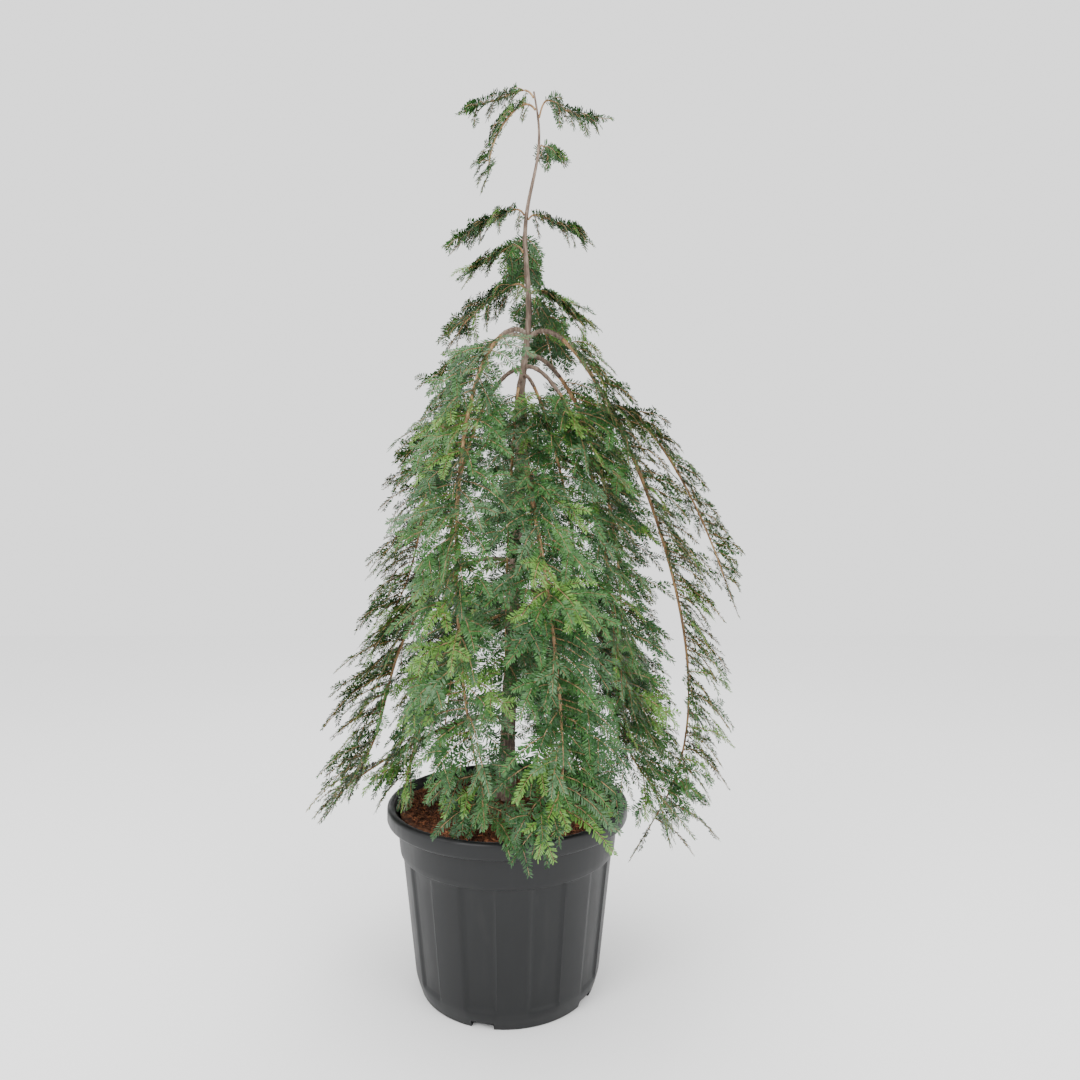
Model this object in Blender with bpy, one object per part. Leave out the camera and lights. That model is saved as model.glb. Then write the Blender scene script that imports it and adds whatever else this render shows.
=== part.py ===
"""A weeping eastern hemlock growing in a round black nursery pot.

The frame is metres, +Z up, with the origin on the ground under the middle of the pot. +X is to the
right and -Y towards the viewer. Azimuths are in degrees from +X, turning towards +Y.
"""

import math
import random
from collections import namedtuple

import bmesh
import bpy
import numpy as np
from mathutils import Matrix, Vector

# The pot, from its foot up
POT_HEIGHT = 0.298
FOOT_RADIUS = 0.1435
HEEL_RADIUS = 0.1535
WALL_TOP_RADIUS = 0.1725
COLLAR_FOOT = 0.221
COLLAR_RADIUS = 0.1765
COLLAR_TOP_RADIUS = 0.181
LIP_FOOT = 0.271
LIP_RADIUS = 0.198
WALL_THICKNESS = 0.004
FLOOR_THICKNESS = 0.014
FLUTE_COUNT = 10
FLUTE_DEPTH = 0.0034
FLUTE_HALF_ANGLE = 9.0
FLUTE_FLOOR_HALF_ANGLE = 7.0
FLUTE_FOOT = 0.030
FIRST_FLUTE_AZIMUTH = -103.0
NOTCH_COUNT = 5
NOTCH_WIDTH = 0.035
NOTCH_HEIGHT = 0.011
NOTCH_DEPTH = 0.026

# The growing medium that fills the pot
SOIL_EDGE_HEIGHT = 0.286
SOIL_CROWN = 0.010
SOIL_LUMP = 0.0025
SOIL_SIDES = 30

# The trunk
TRUNK_FOOT_X = -0.005
TRUNK_LEAN = 0.043
TRUNK_SWAY = 0.011
TRUNK_SWAY_LENGTH = 0.30
TRUNK_TOP = 1.476
TRUNK_RADIUS = 0.0135
TRUNK_TIP_RADIUS = 0.0016
TRUNK_TAPER_POWER = 1.1
FLARE_RADIUS = 0.010
FLARE_HEIGHT = 0.028
TRUNK_SIDES = 8
TRUNK_RINGS = 34

# Limbs and twigs
LIMB_SIDES = 6
STEM_SIDES = 3
LIMB_RADIUS = 0.0042
LIMB_TIP_RADIUS = 0.0013
CREST_SHARE = 0.16
FALL_POWER = 1.35
CURL_POWER = 8
GAP = 0.0003

# Sprays of needles, each a thin toothed blade
BLADE_THICKNESS = 0.024
BLADE_WIDTH = 0.34
BLADE_DIP = 4.0
BLADE_DROOP = 46.0
# (share of the length, share of the half width) of the roots and tips of a blade's teeth
BLADE_EDGE = ((0.16, 0.30), (0.42, 0.95), (0.40, 0.42), (0.72, 0.85))
BLADE_RIDGE = (0.11, 0.60)
BLADE_ROOT_DEPTH = 0.0010
BLADE_STEPS = 6
# How far a spray's heading swings from straight out, and the lengths tried where there is no room
BLADE_SWING = (12, 88)
BLADE_TRIES = (1.0, 0.82, 0.66, 0.5)
# A walk over a blade's points: round its outline and up its ridge
BLADE_CHAIN = (1, 2, 4, 9, 8, 6, 5, 10, 11, 9)
TIP_OVERLAP = 0.008
SPACE_MARGIN = 0.0035
LIMB_CLEARANCE = 0.006
TRUNK_CLEARANCE = 0.003
RIM_CLEARANCE = 0.006

# A weeping branch leaves the trunk at a height and azimuth, rises by its lift and falls to its tip.
# Its reach is how far out it hangs, its spread how soon it gets there, and its curl how far the tip
# turns out (or in, below 0). Its bare share is the limb; cuts are the shares at which its foliage
# is divided into masses.
Branch = namedtuple("Branch", "name height azimuth reach tip lift spread curl twist bare cuts sprays size")
BRANCHES = (
    Branch("right", 1.066, -8, 0.290, 0.280, 0.035, 1.75, -0.085, -5, 0.11, (0.52,), (10, 11), 0.100),
    Branch("left", 1.064, 178, 0.171, 0.622, 0.022, 2.5, 0.040, 0, 0.14, (), (13,), 0.100),
    Branch("front_left", 1.070, -125, 0.240, 0.320, 0.019, 2.9, -0.085, 17, 0.11, (0.54,), (9, 9), 0.096),
    Branch("right_middle", 1.015, -38, 0.165, 0.500, 0.006, 2.4, 0.030, 0, 0.20, (0.60,), (7, 6), 0.098),
    Branch("front_right", 1.000, -60, 0.170, 0.640, 0.004, 1.3, 0.000, 0, 0.16, (), (8,), 0.088),
    Branch("front", 0.870, -84, 0.265, 0.350, 0.010, 2.4, -0.050, 10, 0.16, (), (13,), 0.104),
    Branch("front_middle", 0.990, -103, 0.095, 0.540, 0.012, 1.6, 0.000, 0, 0.12, (), (8,), 0.078),
    Branch("back_left", 1.012, 138, 0.190, 0.480, 0.014, 2.6, 0.020, 0, 0.16, (0.58,), (8, 6), 0.104),
    Branch("back_right", 1.035, 38, 0.235, 0.440, 0.016, 2.3, 0.000, 4, 0.14, (0.56,), (9, 7), 0.104),
    Branch("back", 0.985, 88, 0.225, 0.420, 0.014, 2.5, 0.010, -4, 0.14, (0.54,), (8, 7), 0.104),
    Branch("low_left", 0.690, -176, 0.205, 0.345, 0.020, 2.7, 0.045, 0, 0.14, (), (13,), 0.118),
    Branch("low_right", 0.690, -28, 0.170, 0.355, 0.010, 2.2, 0.060, 0, 0.14, (), (12,), 0.110),
    Branch("low_back_right", 0.640, 28, 0.225, 0.355, 0.010, 2.2, 0.020, 0, 0.0, (), (10,), 0.112),
    Branch("low_back", 0.610, 74, 0.215, 0.360, 0.010, 2.2, 0.020, 0, 0.0, (), (9,), 0.110),
    Branch("low_back_left", 0.650, 124, 0.225, 0.355, 0.010, 2.2, 0.020, 0, 0.0, (), (10,), 0.112),
    Branch("low_front_left", 0.600, -150, 0.170, 0.365, 0.010, 1.5, 0.000, 0, 0.0, (), (9,), 0.092),
    Branch("low_front_right", 0.540, -54, 0.140, 0.365, 0.006, 2.0, 0.000, 0, 0.0, (), (7,), 0.084),
    Branch("rim_left", 0.430, 176, 0.270, 0.300, 0.010, 1.2, 0.000, 4, 0.0, (), (5,), 0.080),
    Branch("leader_left", 1.466, 180, 0.096, 1.452, 0.014, 1.2, 0.000, 0, 0.0, (), (4,), 0.034),
    Branch("leader_hanging", 1.446, -165, 0.080, 1.330, 0.014, 2.0, 0.000, 0, 0.0, (), (6,), 0.036),
    Branch("leader_right", 1.434, 3, 0.090, 1.436, 0.030, 1.1, 0.000, 0, 0.0, (), (4,), 0.034),
    Branch("leader_tufts", 1.386, 30, 0.026, 1.384, 0.004, 1.2, 0.000, 0, 0.0, (), (2,), 0.032),
    Branch("upper_left", 1.270, 182, 0.092, 1.236, 0.012, 1.2, 0.000, 0, 0.0, (), (6,), 0.046),
    Branch("upper_right", 1.262, -4, 0.078, 1.240, 0.010, 1.2, 0.000, 0, 0.0, (), (5,), 0.040),
    Branch("upper_back", 1.230, 92, 0.074, 1.196, 0.010, 1.2, 0.000, 0, 0.0, (), (5,), 0.046),
    Branch("upper_front", 1.205, -152, 0.082, 1.166, 0.012, 1.2, 0.000, 0, 0.0, (), (5,), 0.046),
    Branch("shoulder_left", 1.146, 172, 0.106, 1.088, 0.012, 1.2, 0.000, 0, 0.0, (), (6,), 0.058),
    Branch("shoulder_right", 1.136, -20, 0.074, 1.088, 0.008, 1.2, 0.000, 0, 0.0, (), (6,), 0.056),
    Branch("shoulder_back", 1.124, 70, 0.100, 1.070, 0.012, 1.2, 0.000, 0, 0.0, (), (6,), 0.060),
)
# The long twig that leaves the right branch part of the way out and hangs furthest
OUTER_TWIG = Branch("right_outer", 0.0, 6, 0.170, 0.665, 0.016, 1.4, 0.010, -6, 0.0, (), (8,), 0.070)
OUTER_TWIG_SHARE = 0.30


def clear_scene():
    for obj in list(bpy.data.objects):
        bpy.data.objects.remove(obj, do_unlink=True)


def finish(name, red, green, blue, roughness):
    """A plain Principled finish of one colour."""
    material = bpy.data.materials.new(name)
    material.use_nodes = True
    shader = material.node_tree.nodes["Principled BSDF"]
    shader.inputs["Base Color"].default_value = (red, green, blue, 1.0)
    shader.inputs["Roughness"].default_value = roughness
    shader.inputs["Metallic"].default_value = 0.0
    return material


def add_object(name, mesh, material):
    obj = bpy.data.objects.new(name, mesh)
    bpy.context.scene.collection.objects.link(obj)
    mesh.materials.clear()
    mesh.materials.append(material)
    return obj


def skinned(name, loops):
    """A mesh whose skin runs over loops of points, capped at both ends. Loops of one point are poles."""
    bm = bmesh.new()
    rings = [[bm.verts.new(point) for point in loop] for loop in loops]
    for lower, upper in zip(rings, rings[1:]):
        count = max(len(lower), len(upper))
        for i in range(count):
            j = (i + 1) % count
            if len(lower) == 1:
                bm.faces.new((lower[0], upper[j], upper[i]))
            elif len(upper) == 1:
                bm.faces.new((lower[i], lower[j], upper[0]))
            else:
                bm.faces.new((lower[i], lower[j], upper[j], upper[i]))
    for ring in (rings[0], rings[-1]):
        if len(ring) > 1:
            bm.faces.new(ring)
    bmesh.ops.recalc_face_normals(bm, faces=bm.faces)
    mesh = bpy.data.meshes.new(name)
    bm.to_mesh(mesh)
    bm.free()
    return mesh


def circle(centre, normal, radius, sides, reference):
    """Points round centre in the plane across normal, starting near the reference direction."""
    across = (reference - normal * reference.dot(normal)).normalized()
    other = normal.cross(across)
    turns = [2 * math.pi * i / sides for i in range(sides)]
    return [centre + radius * (math.cos(a) * across + math.sin(a) * other) for a in turns], across


def tube(name, points, radii, sides, first_normal=None):
    """A tapering tube along points. Its first cut faces first_normal where that is given."""
    loops = []
    reference = Vector((0.0, 0.0, 1.0)) if abs((points[1] - points[0]).normalized().z) < 0.9 else Vector((1, 0, 0))
    for i, (point, radius) in enumerate(zip(points, radii)):
        before, after = points[max(i - 1, 0)], points[min(i + 1, len(points) - 1)]
        normal = (after - before).normalized()
        if i == 0 and first_normal is not None:
            normal = first_normal
        loop, reference = circle(point, normal, radius, sides, reference)
        loops.append(loop)
    return skinned(name, loops)


# The pot and what fills it


def flute_angles():
    """(angle, whether it lies on a flute's floor) of each vertex of a ring of the pot's outer wall."""
    pitch = 360 / FLUTE_COUNT
    places = (
        (-FLUTE_HALF_ANGLE, False),
        (-FLUTE_FLOOR_HALF_ANGLE, True),
        (FLUTE_FLOOR_HALF_ANGLE, True),
        (FLUTE_HALF_ANGLE, False),
        (pitch / 2, False),
    )
    return [
        (math.radians(FIRST_FLUTE_AZIMUTH + k * pitch + turn), on_floor)
        for k in range(FLUTE_COUNT)
        for turn, on_floor in places
    ]


def pot_ring(radius, height, depth=0.0):
    return [
        Vector(((radius - depth * on_floor) * math.cos(a), (radius - depth * on_floor) * math.sin(a), height))
        for a, on_floor in flute_angles()
    ]


def notch_cutter():
    """Blocks that cut the drainage notches out of the pot's foot, hidden from the build."""
    bm = bmesh.new()
    for k in range(NOTCH_COUNT):
        azimuth = math.radians(FIRST_FLUTE_AZIMUTH + k * 360 / NOTCH_COUNT)
        block = bmesh.ops.create_cube(bm, size=1.0)["verts"]
        bmesh.ops.scale(bm, vec=(NOTCH_DEPTH, NOTCH_WIDTH, 2 * NOTCH_HEIGHT), verts=block)
        bmesh.ops.translate(bm, vec=(FOOT_RADIUS, 0, 0), verts=block)
        bmesh.ops.rotate(bm, cent=(0, 0, 0), matrix=Matrix.Rotation(azimuth, 3, "Z"), verts=block)
    mesh = bpy.data.meshes.new("notch_cutter")
    bm.to_mesh(mesh)
    bm.free()
    cutter = bpy.data.objects.new("notch_cutter", mesh)
    bpy.context.scene.collection.objects.link(cutter)
    cutter.hide_render = True
    cutter.display_type = "WIRE"
    return cutter


def pot(material):
    step = 0.25 * (HEEL_RADIUS - FOOT_RADIUS)
    loops = [
        [Vector((0, 0, 0))],
        pot_ring(FOOT_RADIUS - 0.0015, 0.0),
        pot_ring(FOOT_RADIUS, 0.002),
        pot_ring(HEEL_RADIUS - step, FLUTE_FOOT - 0.004),
        pot_ring(HEEL_RADIUS - 0.5 * step, FLUTE_FOOT, FLUTE_DEPTH),
        pot_ring(WALL_TOP_RADIUS, COLLAR_FOOT, FLUTE_DEPTH),
        pot_ring(COLLAR_RADIUS, COLLAR_FOOT + 0.002),
        pot_ring(COLLAR_TOP_RADIUS, LIP_FOOT),
        pot_ring(LIP_RADIUS - 0.001, LIP_FOOT + 0.002),
        pot_ring(LIP_RADIUS, POT_HEIGHT - 0.010),
        pot_ring(LIP_RADIUS - 0.003, POT_HEIGHT - 0.002),
        pot_ring(LIP_RADIUS - 0.006, POT_HEIGHT),
        pot_ring(LIP_RADIUS - 0.010, POT_HEIGHT - 0.002),
        pot_ring(COLLAR_TOP_RADIUS - 0.002, POT_HEIGHT - 0.014),
        pot_ring(WALL_TOP_RADIUS - FLUTE_DEPTH - WALL_THICKNESS, COLLAR_FOOT),
        pot_ring(FOOT_RADIUS - WALL_THICKNESS - 0.002, FLOOR_THICKNESS),
        [Vector((0, 0, FLOOR_THICKNESS))],
    ]
    mesh = skinned("pot", loops)
    obj = add_object("pot", mesh, material)
    cut = obj.modifiers.new("notches", "BOOLEAN")
    cut.operation = "DIFFERENCE"
    cut.solver = "EXACT"
    cut.object = notch_cutter()
    return obj


def soil_height(x, y):
    """The surface of the growing medium: a shallow crown with a few lumps."""
    edge = COLLAR_TOP_RADIUS
    share = min(1.0, math.hypot(x, y) / edge)
    lumps = math.sin(61 * x + 17 * y) * math.cos(53 * y - 23 * x)
    return SOIL_EDGE_HEIGHT + SOIL_CROWN * (1 - share * share) + SOIL_LUMP * lumps * (1 - share**6)


def soil(material):
    def ring(radius, height=None):
        points = []
        for i in range(SOIL_SIDES):
            angle = 2 * math.pi * i / SOIL_SIDES
            x, y = radius * math.cos(angle), radius * math.sin(angle)
            points.append(Vector((x, y, soil_height(x, y) if height is None else height)))
        return points

    inset = FLUTE_DEPTH + WALL_THICKNESS + 0.0012
    loops = [
        [Vector((0, 0, FLOOR_THICKNESS + 2 * GAP))],
        ring(FOOT_RADIUS - WALL_THICKNESS - 0.005, FLOOR_THICKNESS + 2 * GAP),
        ring(WALL_TOP_RADIUS - inset, COLLAR_FOOT),
        ring(COLLAR_TOP_RADIUS - 0.0040, SOIL_EDGE_HEIGHT - 0.004),
        ring(0.165),
        ring(0.125),
        ring(0.085),
        ring(0.045),
        [Vector((0, 0, soil_height(0, 0)))],
    ]
    return add_object("soil", skinned("soil", loops), material)


# The trunk

TRUNK_FOOT = SOIL_EDGE_HEIGHT + SOIL_CROWN + SOIL_LUMP + GAP
TRUNK_LENGTH = TRUNK_TOP - TRUNK_FOOT


def trunk_curve(height):
    """The middle of the trunk at a height: it leans right and sways more towards its tip."""
    up = height - TRUNK_FOOT
    share = up / TRUNK_LENGTH
    turn = 2 * math.pi * (height - 1.315) / TRUNK_SWAY_LENGTH
    x = TRUNK_FOOT_X + TRUNK_LEAN * up + TRUNK_SWAY * share * share * math.sin(turn)
    y = 0.5 * TRUNK_SWAY * share * math.sin(0.6 * turn + 1.0)
    return Vector((x, y, height))


def trunk_radius(height):
    up = height - TRUNK_FOOT
    left = min(1.0, max(0.0, 1 - up / TRUNK_LENGTH))
    taper = (TRUNK_RADIUS - TRUNK_TIP_RADIUS) * left**TRUNK_TAPER_POWER
    return TRUNK_TIP_RADIUS + taper + FLARE_RADIUS * math.exp(-max(0.0, up) / FLARE_HEIGHT)


def trunk_share(i):
    """The rings crowd at the flare and stand evenly above it."""
    share = i / (TRUNK_RINGS - 1)
    return share * (0.25 + 0.75 * min(1.0, 4 * share))


TRUNK_LINE = [trunk_curve(TRUNK_FOOT + TRUNK_LENGTH * trunk_share(i)) for i in range(TRUNK_RINGS)]


def trunk_point(height):
    """The middle of the faceted trunk at a height."""
    for lower, upper in zip(TRUNK_LINE, TRUNK_LINE[1:]):
        if height <= upper.z:
            break
    return lower.lerp(upper, (height - lower.z) / (upper.z - lower.z))


def trunk(material):
    mesh = tube("trunk", TRUNK_LINE, [trunk_radius(p.z) for p in TRUNK_LINE], TRUNK_SIDES, Vector((0, 0, 1)))
    return add_object("trunk", mesh, material)


# The weeping branches


def radial(azimuth):
    return Vector((math.cos(math.radians(azimuth)), math.sin(math.radians(azimuth)), 0.0))


def path_from(start, clear, branch):
    """The line of a branch as a function of its share 0 to 1, leaving start by clear."""
    drop = start.z - branch.tip

    def point(share):
        share = min(share, 1.0)
        crest = share / CREST_SHARE
        out = branch.reach * (1 - (1 - share) ** branch.spread) + branch.curl * share**CURL_POWER
        rise = branch.lift * crest * math.exp(1 - crest)
        place = start + (clear + out) * radial(branch.azimuth + branch.twist * share)
        place.z = start.z + rise - drop * share**FALL_POWER
        return place

    return point


def branch_path(branch):
    start = trunk_point(branch.height)
    return path_from(start, trunk_radius(branch.height) + 2 * GAP, branch)


def thickness(branch, share):
    """A branch's radius: long ones are stouter."""
    length = branch.reach + 0.6 * (branch.height - branch.tip if branch.height else 0.2)
    root = LIMB_TIP_RADIUS + (LIMB_RADIUS - LIMB_TIP_RADIUS) * min(1.0, length / 0.55)
    return LIMB_TIP_RADIUS + (root - LIMB_TIP_RADIUS) * max(0.0, 1 - share) ** 0.8


def line_between(path, first, last, count):
    return [path(first + (last - first) * i / (count - 1)) for i in range(count)]


def limb(branch, path, material):
    """The bare, tapering limb that carries a branch's foliage out from the trunk."""
    shares = [branch.bare * (i / 7) ** 1.3 for i in range(8)]
    points = [path(share) for share in shares]
    radii = [thickness(branch, share) for share in shares]
    mesh = tube(f"{branch.name}_bough", points, radii, LIMB_SIDES, radial(branch.azimuth))
    return add_object(f"{branch.name}_bough", mesh, material)


# Masses of foliage

Mass = namedtuple("Mass", "name branch path first last sprays stem")


def masses_of(branch, path):
    """The masses that a branch's foliage is divided into, each with the line of its own stem."""
    edges = (branch.bare, *branch.cuts, 1.0)
    names = {1: ("",), 2: ("_upper", "_lower"), 3: ("_upper", "_middle", "_lower")}[len(edges) - 1]
    found = []
    for i, part in enumerate(names):
        gap = 2.2 * GAP / max(0.05, branch.height - branch.tip + 0.3) if edges[i] > 0 else 0.0
        first, last = edges[i] + gap, edges[i + 1]
        count = max(5, round(14 * (last - first)) + 2)
        stem = line_between(path, first, last, count)
        found.append(Mass(f"{branch.name}{part}_foliage", branch, path, first, last, branch.sprays[i], stem))
    return found


class Spaces:
    """Which mass a point belongs to: the one whose stem is nearest, well clear of every limb."""

    def __init__(self, masses, limbs):
        self.stems = {mass.name: np.array([tuple(p) for p in mass.stem]) for mass in masses}
        self.limbs = [np.array([tuple(p) for p in line]) for line in limbs]

    @staticmethod
    def distance(points, line):
        starts, steps = line[:-1], line[1:] - line[:-1]
        offsets = points[:, None, :] - starts[None]
        shares = np.clip((offsets * steps).sum(2) / (steps * steps).sum(1), 0, 1)
        return np.linalg.norm(offsets - shares[..., None] * steps, axis=2).min(1)

    def holds(self, name, points):
        own = self.distance(points, self.stems[name])
        for other, line in self.stems.items():
            if other != name and (own + 2 * SPACE_MARGIN > self.distance(points, line)).any():
                return False
        if any((self.distance(points, line) < LIMB_CLEARANCE).any() for line in self.limbs):
            return False
        return not any(self.meets_pot(*point) or self.meets_trunk(*point) for point in points)

    @staticmethod
    def meets_trunk(x, y, z):
        middle = trunk_point(z)
        return math.hypot(x - middle.x, y - middle.y) < trunk_radius(z) + TRUNK_CLEARANCE

    @staticmethod
    def meets_pot(x, y, z):
        out = math.hypot(x, y)
        if out < COLLAR_TOP_RADIUS - 0.004:
            return z < soil_height(x, y) + RIM_CLEARANCE
        if out < LIP_RADIUS + RIM_CLEARANCE:
            return z < POT_HEIGHT + RIM_CLEARANCE
        return z < 0.05


def blade(root, heading, dip, droop, length, facing):
    """A toothed blade: points on its outline, its ridge and its underside, then its faces.

    It starts along heading, dips below level by dip degrees and droops by droop more towards its tip.
    """
    steps = BLADE_STEPS
    spine = [root]
    for i in range(steps):
        angle = math.radians(dip + droop * ((i + 0.5) / steps))
        step = heading * math.cos(angle) - Vector((0, 0, math.sin(angle)))
        spine.append(spine[-1] + (length / steps) * step)

    def along(share):
        place = min(max(share, 0.0), 1.0) * steps
        i = min(int(place), steps - 1)
        return spine[i].lerp(spine[i + 1], place - i)

    chord = (spine[steps // 2] - spine[0]).normalized()
    side = chord.cross(facing).normalized()
    half = 0.5 * BLADE_WIDTH * length
    outline = [[along(share) + hand * half * out * side for share, out in BLADE_EDGE] for hand in (1, -1)]
    lift = 0.5 * BLADE_THICKNESS * length * side.cross(chord)
    ridge = [along(share) for share in BLADE_RIDGE]
    points = [along(0.0), *outline[0], *outline[1], along(1.0)]
    points += [ridge[0] + lift, ridge[1] + lift, ridge[0] - lift, ridge[1] - lift]
    teeth, tip = len(BLADE_EDGE), 2 * len(BLADE_EDGE) + 1
    faces = []
    for first in (1, 1 + teeth):
        edge = [0, *range(first, first + teeth), tip]
        for near in (tip + 1, tip + 3):
            far = near + 1
            faces += [(a, b, near) for a, b in zip(edge[:3], edge[1:4])]
            faces.append((edge[3], far, near))
            faces += [(a, b, far) for a, b in zip(edge[3:], edge[4:])]
    return points, faces


def tested_points(points):
    """A blade's points but for its root, and points along its edges and ridge between them."""
    chain = [points[i] for i in BLADE_CHAIN]
    between = [a.lerp(b, 0.5) for a, b in zip(chain, chain[1:])]
    return np.array([tuple(point) for point in (*points[1:], *between)])


def mesh_of(name, points, faces):
    bm = bmesh.new()
    verts = [bm.verts.new(point) for point in points]
    for face in faces:
        bm.faces.new([verts[i] for i in face])
    bmesh.ops.recalc_face_normals(bm, faces=bm.faces)
    mesh = bpy.data.meshes.new(name)
    bm.to_mesh(mesh)
    bm.free()
    return mesh


def side_blade(mass, share, hand, rng):
    """Where a side spray starts, its heading and dip, and which way its flat face looks."""
    out = radial(mass.branch.azimuth + mass.branch.twist * share)
    across = Vector((-out.y, out.x, 0)) * hand
    swing = math.radians(rng.uniform(*BLADE_SWING))
    heading = out * math.cos(swing) + across * math.sin(swing)
    roll = rng.uniform(0.2, 0.9) * hand
    facing = Vector((0, 0, 1)) + 0.6 * out - roll * (across * math.cos(swing) - out * math.sin(swing)) * hand
    return mass.path(share), heading, BLADE_DIP + rng.uniform(-8, 14), BLADE_DROOP, facing


def tip_blade(mass):
    """The spray that carries a stem on past its end."""
    share = mass.last
    along = mass.path(share) - mass.path(share - 0.03)
    flat = Vector((along.x, along.y, 0))
    dip = min(70.0, math.degrees(math.atan2(-along.z, flat.length)))
    root = mass.stem[-1] - TIP_OVERLAP * along.normalized()
    return root, flat.normalized(), dip, 0.0, Vector((0, 0, 1)) + 0.9 * flat.normalized()


def blades_of(mass, spaces):
    """The blades of a mass, by a seeded rule: side ones to either hand in turn, then one at the tip."""
    rng = random.Random(mass.name)
    found = []
    for i in range(mass.sprays + 1):
        if i < mass.sprays:
            share = mass.first + (mass.last - mass.first) * (i + 0.4) / mass.sprays
            root, heading, dip, droop, facing = side_blade(mass, share, 1 if i % 2 else -1, rng)
        else:
            share = mass.last
            root, heading, dip, droop, facing = tip_blade(mass)
        taper = 0.74 + 0.30 * math.sin(math.pi * (0.12 + 0.7 * share))
        length = mass.branch.size * taper * rng.uniform(0.88, 1.15)
        root = root - BLADE_ROOT_DEPTH * heading
        for shrink in BLADE_TRIES:
            shape = blade(root, heading, dip, droop, length * shrink, facing)
            if spaces.holds(mass.name, tested_points(shape[0])):
                found.append(shape)
                break
    return found


def largest_shell(mesh):
    """Drops loose scraps and sealed hollows that fusing can leave."""
    bm = bmesh.new()
    bm.from_mesh(mesh)
    bmesh.ops.triangulate(bm, faces=bm.faces)
    left, shells = set(bm.faces), []
    while left:
        stack, shell = [left.pop()], []
        while stack:
            face = stack.pop()
            shell.append(face)
            near = {other for edge in face.edges for other in edge.link_faces if other in left}
            left -= near
            stack += near
        shells.append(shell)
    shells.sort(key=len)
    scraps = [face for shell in shells[:-1] for face in shell]
    bmesh.ops.delete(bm, geom=scraps, context="FACES")
    bm.to_mesh(mesh)
    bm.free()


def fused(name, meshes, material):
    """One solid out of a stem and its blades, by a single union on a collection."""
    helpers = bpy.data.collections.new(f"{name}_pieces")
    bpy.context.scene.collection.children.link(helpers)
    for mesh in meshes[1:]:
        helpers.objects.link(bpy.data.objects.new(mesh.name, mesh))
    obj = add_object(name, meshes[0], material)
    union = obj.modifiers.new("union", "BOOLEAN")
    union.operation = "UNION"
    union.operand_type = "COLLECTION"
    union.collection = helpers
    union.solver = "MANIFOLD"
    bpy.context.view_layer.update()
    graph = bpy.context.evaluated_depsgraph_get()
    joined = bpy.data.meshes.new_from_object(obj.evaluated_get(graph))
    obj.modifiers.clear()
    obj.data = joined
    for piece in list(helpers.objects):
        bpy.data.objects.remove(piece, do_unlink=True)
    bpy.data.collections.remove(helpers)
    largest_shell(joined)
    return obj


def foliage(mass, spaces, material, first_normal):
    radii = [
        max(0.0012, thickness(mass.branch, mass.first + (mass.last - mass.first) * i / (len(mass.stem) - 1)))
        for i in range(len(mass.stem))
    ]
    stem = tube(f"{mass.name}_stem", mass.stem, radii, STEM_SIDES, first_normal)
    pieces = [mesh_of(f"{mass.name}_blade", *shape) for shape in blades_of(mass, spaces)]
    return fused(mass.name, [stem, *pieces], material)


def tree(bark, needles):
    trunk(bark)
    plan, limbs = [], []
    for branch in BRANCHES:
        path = branch_path(branch)
        if branch.bare:
            limb(branch, path, bark)
            limbs.append(line_between(path, 0.0, branch.bare, 8))
        plan += masses_of(branch, path)
    carrier = BRANCHES[0]
    fork = branch_path(carrier)(OUTER_TWIG_SHARE)
    outer = path_from(fork, thickness(carrier, OUTER_TWIG_SHARE) + 2 * GAP, OUTER_TWIG)
    plan += masses_of(OUTER_TWIG, outer)
    spaces = Spaces(plan, limbs)
    for mass in plan:
        on_trunk = mass.first == 0.0
        foliage(mass, spaces, needles, radial(mass.branch.azimuth) if on_trunk else None)


def main():
    clear_scene()
    plastic = finish("black plastic", 0.020, 0.022, 0.023, 0.48)
    fibre = finish("brown fibre", 0.115, 0.045, 0.018, 0.95)
    bark = finish("bark", 0.200, 0.125, 0.080, 0.85)
    needles = finish("needles", 0.060, 0.135, 0.035, 0.60)
    pot(plastic)
    soil(fibre)
    tree(bark, needles)


main()
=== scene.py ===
import math
import random
from collections import namedtuple

import bpy
import numpy as np
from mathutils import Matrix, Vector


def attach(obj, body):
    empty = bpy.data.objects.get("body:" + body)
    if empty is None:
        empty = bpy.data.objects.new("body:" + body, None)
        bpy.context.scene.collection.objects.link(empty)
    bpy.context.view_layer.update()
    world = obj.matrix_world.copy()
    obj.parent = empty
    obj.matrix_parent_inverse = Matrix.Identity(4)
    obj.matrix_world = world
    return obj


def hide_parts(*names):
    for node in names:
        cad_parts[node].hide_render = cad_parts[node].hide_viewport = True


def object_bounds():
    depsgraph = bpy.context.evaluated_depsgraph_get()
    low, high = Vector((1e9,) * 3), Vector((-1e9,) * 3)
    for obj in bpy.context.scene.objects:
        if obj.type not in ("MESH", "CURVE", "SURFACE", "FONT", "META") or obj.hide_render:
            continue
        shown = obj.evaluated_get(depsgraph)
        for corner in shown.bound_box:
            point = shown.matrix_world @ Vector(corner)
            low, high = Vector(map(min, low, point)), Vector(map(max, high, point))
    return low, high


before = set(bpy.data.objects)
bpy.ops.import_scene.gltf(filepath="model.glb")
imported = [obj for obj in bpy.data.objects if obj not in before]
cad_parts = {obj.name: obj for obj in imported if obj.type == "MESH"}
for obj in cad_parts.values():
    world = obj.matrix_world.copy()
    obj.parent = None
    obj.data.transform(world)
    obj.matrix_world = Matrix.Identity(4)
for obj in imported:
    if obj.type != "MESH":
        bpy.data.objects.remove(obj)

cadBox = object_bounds()
boxLow, boxHigh = np.array(cadBox[0]), np.array(cadBox[1])
print("frame loaded, box", cadBox)


def fillRamp(colourRamp, stops):
    while len(colourRamp.elements) < len(stops):
        colourRamp.elements.new(0.5)
    for element, (place, colour) in zip(colourRamp.elements, stops):
        element.position = place
        element.color = (*colour, 1)


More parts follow.
